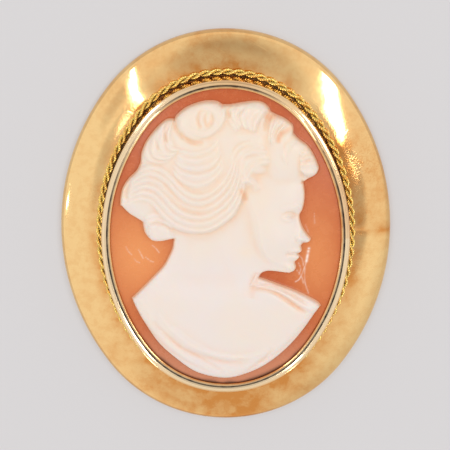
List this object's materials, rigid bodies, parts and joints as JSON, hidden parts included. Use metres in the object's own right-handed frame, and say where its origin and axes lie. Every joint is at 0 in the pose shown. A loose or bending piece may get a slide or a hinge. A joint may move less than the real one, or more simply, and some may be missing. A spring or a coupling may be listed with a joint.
{
  "type": "cameo brooch",
  "caption": "Oval brooch: carved shell cameo of a lady in profile, held in a raised bezel with a twisted wire and a wide domed metal rim, with a pin across the open back.",
  "frame": {"origin": "middle of the oval, on the plane that the rim's edge rests on", "axes": "+Z out of the carved front, +Y to the top of the lady's head, +X the way the lady looks"},
  "size_m": [0.036, 0.0442, 0.0072],
  "materials": {
    "frame": "polished gold colour, lightly tarnished",
    "twisted_wire": "polished gold colour, dark between the plies",
    "cameo": "polished shell, white figure on an orange-brown ground",
    "pin": "worn gold colour"
  },
  "bodies": {
    "root": {"frame": "frame", "twisted_wire": "twisted_wire", "cameo": "cameo", "pin": "pin"}
  },
  "joints": []
}
